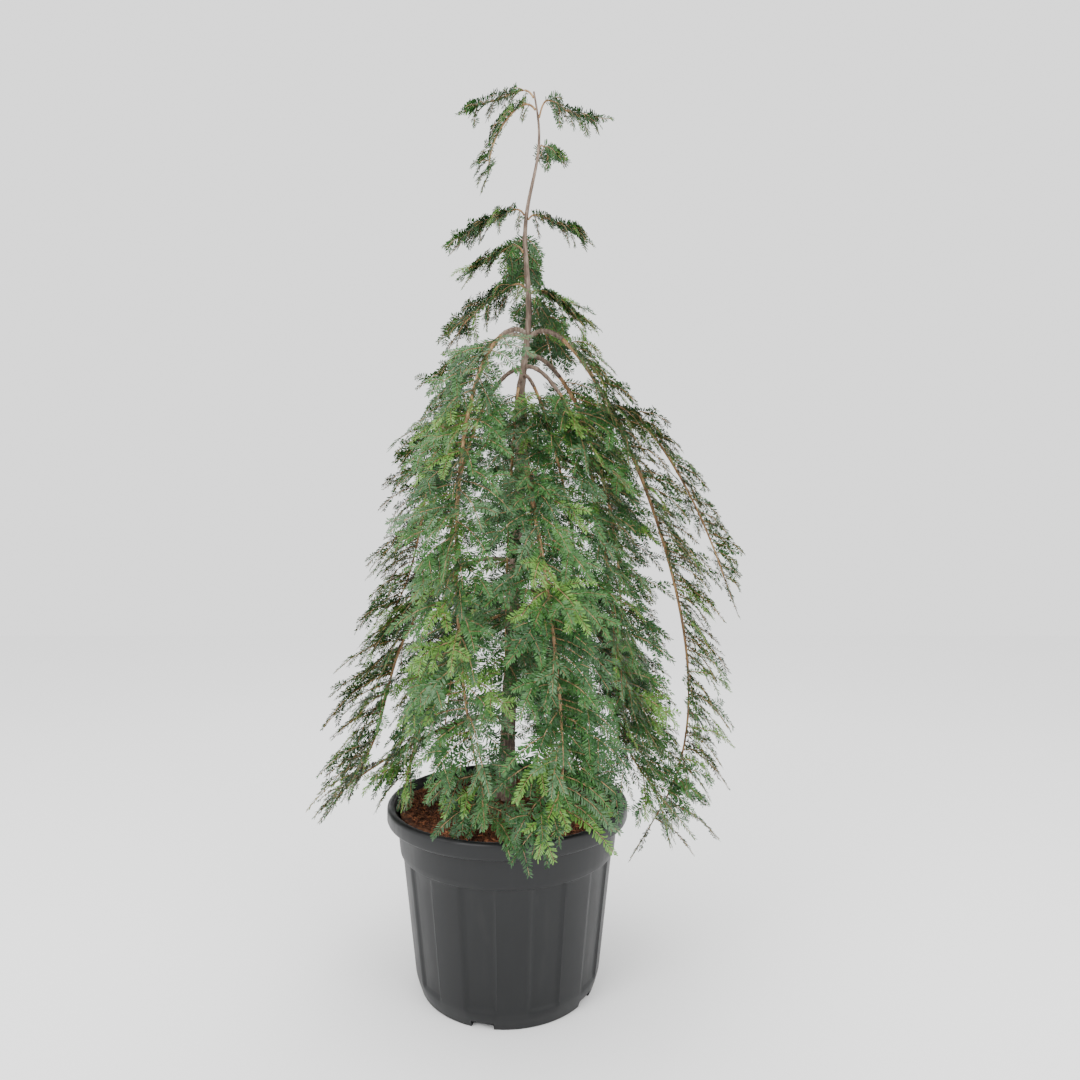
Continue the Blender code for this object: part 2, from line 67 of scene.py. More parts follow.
# wraps a shader socket: + and * add Math nodes, node() adds any other kind
class Val:
    def __init__(self, tree, socket):
        self.tree, self.socket = tree, socket

    def join(self, target, value):
        if isinstance(value, Val):
            self.tree.links.new(value.socket, target)
        else:
            target.default_value = value

    # a socket is given by its name, or by s and its number
    def node(self, kind, settings, **values):
        made = self.tree.nodes.new(kind)
        for key, value in settings.items():
            if key == "stops":
                fillRamp(made.color_ramp, value)
            else:
                setattr(made, key, value)
        for key, value in values.items():
            self.join(made.inputs[key] if key in made.inputs else made.inputs[int(key[1:])], value)
        return Val(self.tree, made.outputs[0])

    def math(self, operation, first, second):
        return self.node("ShaderNodeMath", {"operation": operation}, s0=first, s1=second)

    def __add__(self, other):
        return self.math("ADD", self, other)

    def __radd__(self, other):
        return self.math("ADD", other, self)

    def __mul__(self, other):
        return self.math("MULTIPLY", self, other)

    def __rmul__(self, other):
        return self.math("MULTIPLY", other, self)


def newMaterial(name):
    material = bpy.data.materials.new(name)
    material.use_nodes = True
    tree = material.node_tree
    coords = tree.nodes.new("ShaderNodeTexCoord")
    return material, tree.nodes["Principled BSDF"], Val(tree, coords.outputs["Object"])


def stretched(place, scale):
    return place.node("ShaderNodeMapping", {}, Vector=place, Scale=scale)


def noise(place, scale, detail):
    return place.node("ShaderNodeTexNoise", {}, Vector=place, Scale=scale, Detail=detail)


def ramp(value, stops):
    return value.node("ShaderNodeValToRGB", {"stops": stops}, Fac=value)


def feed(shader, name, value):
    value.join(shader.inputs[name], value)


def bump(shader, height, strength, distance):
    feed(shader, "Normal", height.node(
        "ShaderNodeBump", {}, Strength=strength, Distance=distance, Height=height))


# one joined mesh: groups are arrays of faces, each with its own count of corners
def meshOf(name, points, groups, material, smooth=True):
    mesh = bpy.data.meshes.new(name)
    corners = np.concatenate([g.reshape(-1) for g in groups]).astype(np.int32)
    totals = np.concatenate([np.full(len(g), g.shape[1]) for g in groups]).astype(np.int32)
    starts = np.concatenate([[0], np.cumsum(totals)[:-1]]).astype(np.int32)
    mesh.vertices.add(len(points))
    mesh.vertices.foreach_set("co", np.asarray(points, np.float32).reshape(-1))
    mesh.loops.add(len(corners))
    mesh.loops.foreach_set("vertex_index", corners)
    mesh.polygons.add(len(totals))
    mesh.polygons.foreach_set("loop_start", starts)
    mesh.polygons.foreach_set("use_smooth", np.full(len(totals), smooth))
    mesh.update(calc_edges=True)
    mesh.validate()
    mesh.materials.append(material)
    obj = bpy.data.objects.new(name, mesh)
    bpy.context.scene.collection.objects.link(obj)
    return obj


def unit(v):
    return v / np.maximum(np.linalg.norm(v, axis=-1, keepdims=True), 1e-9)


# skins of many tapering lines at once: lines (m, n, 3), radii (m, n), relief 1 or (m, n, sides)
def tubes(lines, radii, sides, relief=1.0):
    m, n = radii.shape
    steep = 0.8  # a line that climbs more than this turns round X
    along = unit(np.gradient(lines, axis=1))
    guide = np.where(np.abs(along[:, :1, 2:3]) < steep, [[[0, 0, 1.0]]], [[[1.0, 0, 0]]])
    across = unit(np.cross(along, np.broadcast_to(guide, along.shape)))
    other = np.cross(along, across)
    turns = 2 * np.pi * np.arange(sides) / sides
    reach = radii[:, :, None] * relief * np.ones(sides)
    points = lines[:, :, None] + reach[..., None] * (
        np.cos(turns)[None, None, :, None] * across[:, :, None]
        + np.sin(turns)[None, None, :, None] * other[:, :, None]
    )
    base = (np.arange(m)[:, None, None] * n + np.arange(n - 1)[None, :, None]) * sides
    k = np.arange(sides)[None, None, :]
    after = (k + 1) % sides
    quads = np.stack([base + k, base + sides + k, base + sides + after, base + after], -1).reshape(-1, 4)
    first = np.arange(m)[:, None] * n * sides + np.arange(sides)[None]
    last = first[:, ::-1] + (n - 1) * sides
    return points.reshape(-1, 3), [quads, first, last]


# the pot's sizes are its solid's; each edge's rows are a size of the pot and how far past it,
# a height and how far above it, and the share of the flutes' depth there
potShape = {
    "base": 0.0, "axis": 0.0, "baseRing": 0.07, "foot": 0.1435, "footRound": 0.003,
    "heel": 0.1535, "wallTop": 0.1725, "wallIn": 0.0004, "wallSoft": 0.004, "wallRows": 8,
    "collarFoot": 0.221, "collar": 0.1765, "collarTop": 0.181, "collarSoft": 0.004, "collarRows": 4,
    "lipFoot": 0.271, "lip": 0.198, "rimRound": 0.006, "height": 0.298, "floor": 0.014,
    "heelEdge": (
        ("foot", 0.0040, "base", 0.0140, 0), ("heel", -0.0028, "base", 0.0250, 0),
        ("heel", -0.0020, "base", 0.0290, 0.3), ("heel", -0.0016, "base", 0.0320, 0.8),
        ("heel", -0.0012, "base", 0.0350, 1)),
    "collarEdge": (
        ("wallTop", 0.0000, "collarFoot", -0.0020, 0.9), ("wallTop", 0.0008, "collarFoot", 0.0000, 0.4),
        ("collar", -0.0010, "collarFoot", 0.0012, 0), ("collar", 0.0000, "collarFoot", 0.0030, 0)),
    "lipEdge": (
        ("collarTop", 0.0000, "lipFoot", -0.0030, 0), ("collarTop", 0.0030, "lipFoot", 0.0000, 0),
        ("lip", -0.0040, "lipFoot", 0.0012, 0), ("lip", -0.0012, "lipFoot", 0.0030, 0),
        ("lip", 0.0000, "lipFoot", 0.0060, 0), ("lip", 0.0000, "height", -0.0110, 0)),
    "inside": (
        ("lip", -0.0140, "height", -0.0120, 0), ("collarTop", -0.0030, "height", -0.0200, 0),
        ("wallTop", -0.0075, "collarFoot", 0.0000, 0), ("foot", -0.0060, "floor", 0.0000, 0),
        ("axis", 0.0000, "floor", 0.0000, 0)),
    "flutes": 10, "fluteDepth": 0.0034, "fluteHalf": 8.6, "fluteSoft": 1.6, "firstFlute": -103.0,
    "notches": 5, "notchWidth": 0.035, "notchHeight": 0.011, "notchDepth": 0.026,
    "columns": 300, "mergeWithin": 0.00002, "sharpAngle": 38,
}


# radius, height and share of the flutes' depth, from the middle of the underside round to the floor
def potProfile():
    p = potShape

    def edge(rows):
        return [(p[size] + past, p[level] + above, share) for size, past, level, above, share in rows]

    points = [(r, p["base"], 0) for r in (p["axis"], p["baseRing"], p["foot"] - p["footRound"])]
    for turn in (30, 60, 90):  # rounded foot
        a = math.radians(turn)
        r = p["footRound"]
        points.append((p["foot"] - r + r * math.sin(a), r - r * math.cos(a), 0))
    points += edge(p["heelEdge"])
    start, low, _ = points[-1]
    end, high = p["wallTop"] - p["wallIn"], p["collarFoot"] - p["wallSoft"]
    for i in range(1, p["wallRows"] + 1):
        share = i / p["wallRows"]
        points.append((start + (end - start) * share, low + (high - low) * share, 1))
    points += edge(p["collarEdge"])
    rise = p["lipFoot"] - p["collarSoft"] - p["collarFoot"]
    for i in range(1, p["collarRows"]):
        share = i / p["collarRows"]
        out = p["collar"] + (p["collarTop"] - p["collar"]) * share
        points.append((out, p["collarFoot"] + rise * share, 0))
    points += edge(p["lipEdge"])
    for turn in range(0, 181, 20):  # rolled rim
        a = math.radians(turn)
        r = p["rimRound"]
        points.append((p["lip"] - r + r * math.cos(a), p["height"] - r + r * math.sin(a), 0))
    return points + edge(p["inside"])


# how far into a flute an azimuth lies, from 0 on the ribs to 1 on a flute's floor
def fluteShare(angle):
    p = potShape
    pitch = 360 / p["flutes"]
    off = abs((math.degrees(angle) - p["firstFlute"] + pitch / 2) % pitch - pitch / 2)
    x = min(max((p["fluteHalf"] + p["fluteSoft"] / 2 - off) / p["fluteSoft"], 0.0), 1.0)
    return x * x * (3 - 2 * x)


# noises are scale and detail
potFinish = {
    "grain": (900.0, 2.0), "dust": (3.0, 5.0), "scuffs": (2.0, 4.0),
    "dustStretch": (9, 9, 3), "scuffStretch": (60, 60, 4), "dustShare": 0.7, "grainShare": 0.4,
    "blacks": [
        (0.30, (0.0030, 0.0034, 0.0038)), (0.55, (0.0050, 0.0056, 0.0062)), (0.80, (0.012, 0.012, 0.012))],
    "specular": 0.32, "roughness": 0.24, "dustRoughness": 0.30, "scuffRoughness": 0.12,
    "bump": (0.12, 0.0004),
}


def plasticMaterial():
    f = potFinish
    material, shader, place = newMaterial("potPlastic")
    grain = noise(place, *f["grain"])
    dust = noise(stretched(place, f["dustStretch"]), *f["dust"])
    scuffs = noise(stretched(place, f["scuffStretch"]), *f["scuffs"])
    feed(shader, "Base Color", ramp(dust * f["dustShare"] + scuffs * (1 - f["dustShare"]), f["blacks"]))
    feed(shader, "Roughness", dust * f["dustRoughness"] + scuffs * f["scuffRoughness"] + f["roughness"])
    shader.inputs["Specular IOR Level"].default_value = f["specular"]
    bump(shader, grain * f["grainShare"] + scuffs * (1 - f["grainShare"]), *f["bump"])
    return material


def spunShell(name, profile, columns):
    bpy.ops.object.select_all(action="DESELECT")
    mesh = bpy.data.meshes.new(name)
    mesh.from_pydata([(r, 0, z) for r, z, _ in profile], [(i, i + 1) for i in range(len(profile) - 1)], [])
    shell = bpy.data.objects.new(name, mesh)
    bpy.context.scene.collection.objects.link(shell)
    bpy.context.view_layer.objects.active = shell
    shell.select_set(True)
    bpy.ops.object.mode_set(mode="EDIT")
    bpy.ops.mesh.select_all(action="SELECT")
    bpy.ops.mesh.spin(steps=columns, angle=2 * math.pi, center=(0, 0, 0), axis=(0, 0, 1), dupli=False)
    bpy.ops.mesh.select_all(action="SELECT")
    bpy.ops.mesh.remove_doubles(threshold=potShape["mergeWithin"])
    bpy.ops.mesh.normals_make_consistent(inside=False)
    bpy.ops.object.mode_set(mode="OBJECT")
    return shell


def heightKey(z):
    return round(z * 1e5)  # in hundredths of a millimetre


def pressFlutes(pot, profile):
    p = potShape
    depthAt = {heightKey(z): share for _, z, share in profile if share}
    for v in pot.data.vertices:
        share = depthAt.get(heightKey(v.co.z), 0)
        out = math.hypot(v.co.x, v.co.y)
        if share and out > p["foot"]:
            inward = 1 - p["fluteDepth"] * share * fluteShare(math.atan2(v.co.y, v.co.x)) / out
            v.co.x *= inward
            v.co.y *= inward


def cutNotches(pot):
    p = potShape
    for k in range(p["notches"]):
        azimuth = math.radians(p["firstFlute"] + k * 360 / p["notches"])
        place = (p["foot"] * math.cos(azimuth), p["foot"] * math.sin(azimuth), 0)
        bpy.ops.mesh.primitive_cube_add(size=1, location=place, rotation=(0, 0, azimuth))
        block = bpy.context.object
        block.scale = (p["notchDepth"], p["notchWidth"], 2 * p["notchHeight"])
        bpy.ops.object.transform_apply(location=True, rotation=True, scale=True)
        cut = pot.modifiers.new("notch", "BOOLEAN")
        cut.object = block
        cut.operation = "DIFFERENCE"
        bpy.context.view_layer.objects.active = pot
        bpy.ops.object.modifier_apply(modifier="notch")
        bpy.data.objects.remove(block, do_unlink=True)


def makePot():
    profile = potProfile()
    pot = spunShell("pot_shell", profile, potShape["columns"])
    pressFlutes(pot, profile)
    cutNotches(pot)
    pot.data.shade_smooth()
    pot.data.set_sharp_from_angle(angle=math.radians(potShape["sharpAngle"]))
    pot.data.materials.clear()
    pot.data.materials.append(plasticMaterial())
    return pot


# the growing medium: a lumpy bed, and loose bark and coir fibres over it
soilShape = {
    "edge": 0.286, "crown": 0.010, "out": 0.181, "lump": 0.0025, "lumpWaves": (61, 17, 53, 23), "lumpFade": 6,
    "bedIn": 0.004, "ripple": 0.0012, "rippleWaves": (310, 290), "grain": 0.0006,
    "skirtIn": 0.99, "skirtFoot": 0.262, "rings": 60, "columns": 150, "light": 0.8,
}
chipShape = {
    "count": 5200, "placedIn": 0.012, "keptIn": 0.006, "length": (0.005, 0.020), "tilt": 0.28,
    "lift": (0.0002, 0.0028), "bend": 0.12, "bow": 0.4, "width": (0.0004, 0.0016), "ends": (0.4, 0.3),
    "sides": 4,
    "kinds": (("soil_chips_dark", 0.8, 0.55), ("soil_chips_light", 1.7, 0.45)),  # name, light, share
}
fibreFinish = {
    "patches": (130.0, 4.0), "fibres": (420.0, 5.0), "roughness": 0.92, "bump": (0.7, 0.0015),
    "browns": (
        (0.30, (0.030, 0.011, 0.006)), (0.50, (0.120, 0.042, 0.018)), (0.68, (0.27, 0.105, 0.045))),
}


def soilHeight(x, y):
    s = soilShape
    a, b, c, d = s["lumpWaves"]
    share = np.minimum(1.0, np.hypot(x, y) / s["out"])
    lumps = np.sin(a * x + b * y) * np.cos(c * y - d * x)
    return s["edge"] + s["crown"] * (1 - share * share) + s["lump"] * lumps * (1 - share ** s["lumpFade"])


def fibreMaterial(name, light):
    f = fibreFinish
    material, shader, place = newMaterial(name)
    stops = [(at, tuple(c * light for c in colour)) for at, colour in f["browns"]]
    feed(shader, "Base Color", ramp(noise(place, *f["patches"]), stops))
    shader.inputs["Roughness"].default_value = f["roughness"]
    bump(shader, noise(place, *f["fibres"]), *f["bump"])
    return material


def makeBed(rng):
    s = soilShape
    c = s["columns"]
    k = np.arange(c)
    after = (k + 1) % c
    radii = np.linspace(0, s["out"] - s["bedIn"], s["rings"] + 1)[1:]
    turns = 2 * np.pi * k / c
    x, y = np.outer(radii, np.cos(turns)), np.outer(radii, np.sin(turns))
    ripples = s["ripple"] * np.sin(s["rippleWaves"][0] * x) * np.sin(s["rippleWaves"][1] * y)
    z = soilHeight(x, y) + ripples + rng.normal(0, s["grain"], x.shape)
    points = np.concatenate([[[0, 0, soilHeight(0, 0)]], np.stack([x, y, z], -1).reshape(-1, 3)])
    fan = np.stack([np.zeros(c, int), 1 + k, 1 + after], -1)
    rows = 1 + np.arange(s["rings"] - 1)[:, None] * c
    quads = np.stack([rows + k, rows + c + k, rows + c + after, rows + after], -1).reshape(-1, 4)
    rim = 1 + (s["rings"] - 1) * c + k
    skirt = np.concatenate([points[rim, :2] * s["skirtIn"], np.full((c, 1), s["skirtFoot"])], 1)
    low = len(points) + k
    wall = np.stack([rim, low, np.roll(low, -1), np.roll(rim, -1)], -1)
    faces = [fan, quads, wall, low[None, ::-1]]
    return meshOf("soil_bed", np.concatenate([points, skirt]), faces, fibreMaterial("bedFibre", s["light"]))


def makeChips(name, light, count, rng):
    chip = chipShape
    out = (soilShape["out"] - chip["placedIn"]) * np.sqrt(rng.uniform(0, 1, count))
    turn = rng.uniform(0, 2 * np.pi, count)
    x, y = out * np.cos(turn), out * np.sin(turn)
    length = rng.uniform(*chip["length"], count)[:, None]
    face = rng.uniform(0, 2 * np.pi, count)
    tilt = rng.normal(0, chip["tilt"], count)
    heading = np.stack([np.cos(face) * np.cos(tilt), np.sin(face) * np.cos(tilt), np.sin(tilt)], -1)
    middle = np.stack([x, y, soilHeight(x, y) + rng.uniform(*chip["lift"], count)], -1)
    bow = rng.normal(0, chip["bend"], (count, 3)) * length * chip["bow"]
    lines = np.stack([middle - heading * length / 2, middle + bow, middle + heading * length / 2], 1)
    width = rng.uniform(*chip["width"], count)
    thick = np.stack([width * chip["ends"][0], width, width * chip["ends"][1]], 1)
    inside = np.hypot(lines[..., 0], lines[..., 1]).max(1) < soilShape["out"] - chip["keptIn"]
    skin, faces = tubes(lines[inside], thick[inside], chip["sides"])
    return meshOf(name, skin, faces, fibreMaterial(name, light), smooth=False)


def makeSoil():
    rng = np.random.default_rng(5)
    pieces = [makeBed(rng)]
    for name, light, share in chipShape["kinds"]:
        pieces.append(makeChips(name, light, int(chipShape["count"] * share), rng))
    return pieces


# the trunk and how its branches grow, by the same rule as the solids
trunkShape = {
    "foot": 0.2988, "footX": -0.005, "top": 1.476, "lean": 0.043,
    "sway": 0.011, "swayLength": 0.30, "swayFrom": 1.315,
    "depthSway": 0.5, "depthPace": 0.6, "depthShift": 1.0,
    "radius": 0.0135, "tip": 0.0016, "power": 1.1, "flare": 0.010, "flareHeight": 0.028,
    "rings": 34, "crowded": 0.25,  # the solid's rings, closer together over this share at the foot
}


def trunkCurve(height):
    t = trunkShape
    up = height - t["foot"]
    share = up / (t["top"] - t["foot"])
    turn = 2 * math.pi * (height - t["swayFrom"]) / t["swayLength"]
    x = t["footX"] + t["lean"] * up + t["sway"] * share * share * math.sin(turn)
    y = t["depthSway"] * t["sway"] * share * math.sin(t["depthPace"] * turn + t["depthShift"])
    return np.array([x, y, height])


def trunkRing(i):
    t = trunkShape
    share = i / (t["rings"] - 1)
    closer = t["crowded"] + (1 - t["crowded"]) * min(1, share / t["crowded"])
    return trunkCurve(t["foot"] + (t["top"] - t["foot"]) * share * closer)


trunkLine = [trunkRing(i) for i in range(trunkShape["rings"])]


# the middle of the solid trunk, which runs straight between its rings
def trunkPoint(height):
    for low, high in zip(trunkLine, trunkLine[1:]):
        if height <= high[2]:
            break
    return low + (high - low) * (height - low[2]) / (high[2] - low[2])


def trunkRadius(height):
    t = trunkShape
    up = np.maximum(0.0, height - t["foot"])
    left = np.clip(1 - up / (t["top"] - t["foot"]), 0, 1)
    flare = t["flare"] * np.exp(-up / t["flareHeight"])
    return t["tip"] + (t["radius"] - t["tip"]) * left ** t["power"] + flare


growth = {
    "limbRadius": 0.0042, "limbTip": 0.0013, "taper": 0.8,
    "fullLength": 0.55, "dropShare": 0.6, "outerDrop": 0.2,
    "crest": 0.16, "fall": 1.35, "curlPower": 8, "gap": 0.0003,
    "swing": (12, 88), "dip": 4.0, "dipVary": (-8, 14), "droop": 46.0, "steps": 6,
    "roll": (0.2, 0.9), "faceOut": 0.6,
    "outerShare": 0.30,  # where the outer twig leaves the right branch
}

Branch = namedtuple("Branch", "height azimuth reach tip lift spread curl twist bare cuts sprays size")
branchRows = {
    "right": (1.066, -8, 0.290, 0.280, 0.035, 1.75, -0.085, -5, 0.11, (0.52,), (10, 11), 0.100),
    "left": (1.064, 178, 0.171, 0.622, 0.022, 2.5, 0.040, 0, 0.14, (), (13,), 0.100),
    "front_left": (1.070, -125, 0.240, 0.320, 0.019, 2.9, -0.085, 17, 0.11, (0.54,), (9, 9), 0.096),
    "right_middle": (1.015, -38, 0.165, 0.500, 0.006, 2.4, 0.030, 0, 0.20, (0.60,), (7, 6), 0.098),
    "front_right": (1.000, -60, 0.170, 0.640, 0.004, 1.3, 0.000, 0, 0.16, (), (8,), 0.088),
    "front": (0.870, -84, 0.265, 0.350, 0.010, 2.4, -0.050, 10, 0.16, (), (13,), 0.104),
    "front_middle": (0.990, -103, 0.095, 0.540, 0.012, 1.6, 0.000, 0, 0.12, (), (8,), 0.078),
    "back_left": (1.012, 138, 0.190, 0.480, 0.014, 2.6, 0.020, 0, 0.16, (0.58,), (8, 6), 0.104),
    "back_right": (1.035, 38, 0.235, 0.440, 0.016, 2.3, 0.000, 4, 0.14, (0.56,), (9, 7), 0.104),
    "back": (0.985, 88, 0.225, 0.420, 0.014, 2.5, 0.010, -4, 0.14, (0.54,), (8, 7), 0.104),
    "low_left": (0.690, -176, 0.205, 0.345, 0.020, 2.7, 0.045, 0, 0.14, (), (13,), 0.118),
    "low_right": (0.690, -28, 0.170, 0.355, 0.010, 2.2, 0.060, 0, 0.14, (), (12,), 0.110),
    "low_back_right": (0.640, 28, 0.225, 0.355, 0.010, 2.2, 0.020, 0, 0.0, (), (10,), 0.112),
    "low_back": (0.610, 74, 0.215, 0.360, 0.010, 2.2, 0.020, 0, 0.0, (), (9,), 0.110),
    "low_back_left": (0.650, 124, 0.225, 0.355, 0.010, 2.2, 0.020, 0, 0.0, (), (10,), 0.112),
    "low_front_left": (0.600, -150, 0.170, 0.365, 0.010, 1.5, 0.000, 0, 0.0, (), (9,), 0.092),
    "low_front_right": (0.540, -54, 0.140, 0.365, 0.006, 2.0, 0.000, 0, 0.0, (), (7,), 0.084),
    "rim_left": (0.430, 176, 0.270, 0.300, 0.010, 1.2, 0.000, 4, 0.0, (), (5,), 0.080),
    "leader_left": (1.466, 180, 0.096, 1.452, 0.014, 1.2, 0.000, 0, 0.0, (), (4,), 0.034),
    "leader_hanging": (1.446, -165, 0.080, 1.330, 0.014, 2.0, 0.000, 0, 0.0, (), (6,), 0.036),
    "leader_right": (1.434, 3, 0.090, 1.436, 0.030, 1.1, 0.000, 0, 0.0, (), (4,), 0.034),
    "leader_tufts": (1.386, 30, 0.026, 1.384, 0.004, 1.2, 0.000, 0, 0.0, (), (2,), 0.032),
    "upper_left": (1.270, 182, 0.092, 1.236, 0.012, 1.2, 0.000, 0, 0.0, (), (6,), 0.046),
    "upper_right": (1.262, -4, 0.078, 1.240, 0.010, 1.2, 0.000, 0, 0.0, (), (5,), 0.040),
    "upper_back": (1.230, 92, 0.074, 1.196, 0.010, 1.2, 0.000, 0, 0.0, (), (5,), 0.046),
    "upper_front": (1.205, -152, 0.082, 1.166, 0.012, 1.2, 0.000, 0, 0.0, (), (5,), 0.046),
    "shoulder_left": (1.146, 172, 0.106, 1.088, 0.012, 1.2, 0.000, 0, 0.0, (), (6,), 0.058),
    "shoulder_right": (1.136, -20, 0.074, 1.088, 0.008, 1.2, 0.000, 0, 0.0, (), (6,), 0.056),
    "shoulder_back": (1.124, 70, 0.100, 1.070, 0.012, 1.2, 0.000, 0, 0.0, (), (6,), 0.060),
    "right_outer": (0.0, 6, 0.170, 0.665, 0.016, 1.4, 0.010, -6, 0.0, (), (8,), 0.070),
}
branches = {name: Branch(*row) for name, row in branchRows.items()}
parts = {1: ("",), 2: ("_upper", "_lower")}  # a branch's masses, by their count


def radial(azimuth):
    return np.array([math.cos(math.radians(azimuth)), math.sin(math.radians(azimuth)), 0.0])


def pathOf(name):
    b = branches[name]
    if b.height:
        start = trunkPoint(b.height)
        clear = trunkRadius(b.height) + 2 * growth["gap"]
    else:
        start = pathOf("right")(growth["outerShare"])
        clear = thicknessOf("right", growth["outerShare"]) + 2 * growth["gap"]

    def point(share):
        share = min(share, 1.0)
        crest = share / growth["crest"]
        out = b.reach * (1 - (1 - share) ** b.spread) + b.curl * share ** growth["curlPower"]
        place = start + (clear + out) * radial(b.azimuth + b.twist * share)
        rise = b.lift * crest * math.exp(1 - crest)
        place[2] = start[2] + rise - (start[2] - b.tip) * share ** growth["fall"]
        return place

    return point


def thicknessOf(name, share):
    b, g = branches[name], growth
    length = b.reach + g["dropShare"] * (b.height - b.tip if b.height else g["outerDrop"])
    root = g["limbTip"] + (g["limbRadius"] - g["limbTip"]) * min(1.0, length / g["fullLength"])
    return g["limbTip"] + (root - g["limbTip"]) * max(0.0, 1 - share) ** g["taper"]


def twigLine(root, heading, dip, droop, length):
    steps = growth["steps"]
    line = [root]
    for i in range(steps):
        angle = math.radians(dip + droop * ((i + 0.5) / steps))
        way = heading * math.cos(angle) - np.array([0, 0, math.sin(angle)])
        line.append(line[-1] + (length / steps) * way)
    return np.array(line)


# where a side twig starts, the way it heads, its dip, and the way its flat face looks
def sideTwig(name, share, path, hand, rng):
    b, g = branches[name], growth
    out = radial(b.azimuth + b.twist * share)
    across = np.array([-out[1], out[0], 0]) * hand
    swing = math.radians(rng.uniform(*g["swing"]))
    heading = out * math.cos(swing) + across * math.sin(swing)
    roll = rng.uniform(*g["roll"])
    sideways = across * math.cos(swing) - out * math.sin(swing)
    facing = np.array([0, 0, 1.0]) + g["faceOut"] * out - roll * sideways
    return path(share), heading, g["dip"] + rng.uniform(*g["dipVary"]), facing


# foliage keeps clear of the pot, the growing medium and the trunk
clearance = {
    "insideRim": 0.177, "outsideRim": 0.202, "overRim": 0.302,
    "overSoil": 0.002, "lowest": 0.10, "trunk": 0.001,
}


def clearOfPot(points):
    c = clearance
    x, y, z = points.T
    out = np.hypot(x, y)
    beyond = np.where(out < c["outsideRim"], c["overRim"], c["lowest"])
    return (z > np.where(out < c["insideRim"], soilHeight(x, y) + c["overSoil"], beyond)).all()


def clearOfTrunk(points):
    x, y, z = points.T
    middle = np.array([trunkCurve(height) for height in z])
    return (np.hypot(x - middle[:, 0], y - middle[:, 1]) - trunkRadius(z) > clearance["trunk"]).all()


def keeps(points):
    inBox = ((points > boxLow) & (points < boxHigh)).all()
    return inBox and clearOfPot(points) and clearOfTrunk(points)


spray = {
    "between": 5,  # finer side twigs between two of the main ones
    "betweenSize": (0.6, 1.12), "stemRows": 40, "rootAt": 0.4,
    "size": 0.74, "swell": 0.30, "swellFrom": 0.12, "swellSpan": 0.7, "vary": (0.88, 1.15),
    "tipBack": 0.03, "tipDip": 70.0, "tipFace": 0.9,
    "shrinks": (1.0, 0.8, 0.6, 0.4),  # lengths tried, until the twig is clear
}
twiglet = {
    "pairs": (1, 3), "leastTwig": 0.030, "from": 0.16, "span": 0.66, "vary": (0.2, 0.8), "spread": (38, 58),
    "length": (0.34, 0.56), "first": 1.15, "shorter": 0.7, "droop": 0.14,
}


def sprayLength(size, share, rng):
    swell = math.sin(math.pi * (spray["swellFrom"] + spray["swellSpan"] * share))
    return size * (spray["size"] + spray["swell"] * swell) * rng.uniform(*spray["vary"])


# the twig that carries a stem on at its end
def endTwig(path, last, size, rng):
    along = path(last) - path(last - spray["tipBack"])
    flat = np.array([along[0], along[1], 0])
    level = max(1e-6, float(np.linalg.norm(flat)))
    dip = min(spray["tipDip"], math.degrees(math.atan2(-along[2], level)))
    line = twigLine(path(last), flat / level, dip, 0.0, sprayLength(size, last, rng))
    return line, np.array([0, 0, 1]) + spray["tipFace"] * flat / level


# every side twig of one mass as its line and the way its flat face looks
def twigsOf(name, part, path, first, last, count):
    size = branches[name].size
    rng = random.Random(f"{name}{part}_foliage")
    fine = random.Random(f"{name}{part}_fine")
    twigs = []
    for i in range(count):
        share = first + (last - first) * (i + spray["rootAt"]) / count
        root, heading, dip, facing = sideTwig(name, share, path, 1 if i % 2 else -1, rng)
        length = sprayLength(size, share, rng)
        twigs.append((twigLine(root, heading, dip, growth["droop"], length), facing))
        for k in range(spray["between"]):
            near = share + (last - first) / count * (k + 1) / (spray["between"] + 1)
            hand = -1 if (i + k) % 2 else 1
            root, heading, dip, facing = sideTwig(name, min(near, 1), path, hand, fine)
            length = size * fine.uniform(*spray["betweenSize"])
            twigs.append((twigLine(root, heading, dip, growth["droop"], length), facing))
    return twigs + [endTwig(path, last, size, rng)]


# a branch's stem, and its sprays as a side twig's line, its finer twigs and the way it faces
def growBranch(name):
    b = branches[name]
    path = pathOf(name)
    stem = np.array([path(s) for s in np.linspace(b.bare, 1.0, spray["stemRows"])])
    edges = (b.bare, *b.cuts, 1.0)
    sprays = []
    for part, first, last, count in zip(parts[len(b.sprays)], edges, edges[1:], b.sprays):
        for line, facing in twigsOf(name, part, path, first, last, count):
            for shrink in spray["shrinks"]:
                short = line[0] + (line - line[0]) * shrink
                if keeps(short[1:]):
                    sprays.append((short, twigletsOf(short, facing, name), facing))
                    break
    return stem, sprays


# finer twigs to either side of a side twig, in its own plane, shorter towards its tip
def twigletsOf(line, facing, name):
    t = twiglet
    total = float(np.linalg.norm(line[-1] - line[0]))
    if total < t["leastTwig"]:
        return []
    rng = random.Random(f"{name}{line[0][2]:.4f}{line[-1][0]:.4f}")
    count = rng.randint(*t["pairs"])
    found = []
    for i in range(count):
        share = t["from"] + t["span"] * (i + rng.uniform(*t["vary"])) / count
        place = share * (len(line) - 1)
        k = min(int(place), len(line) - 2)
        root = line[k] + (line[k + 1] - line[k]) * (place - k)
        along = unit(line[k + 1] - line[k])
        side = unit(np.cross(along, facing)) * (1 if i % 2 else -1)
        spread = math.radians(rng.uniform(*t["spread"]))
        length = total * rng.uniform(*t["length"]) * (t["first"] - t["shorter"] * share)
        end = root + (along * math.cos(spread) + side * math.sin(spread)) * length
        low = end + np.array([0, 0, -t["droop"] * length])
        short = np.array([root, root + (end - root) * 0.5, low])
        if keeps(short[1:]):
            found.append(short)
    return found


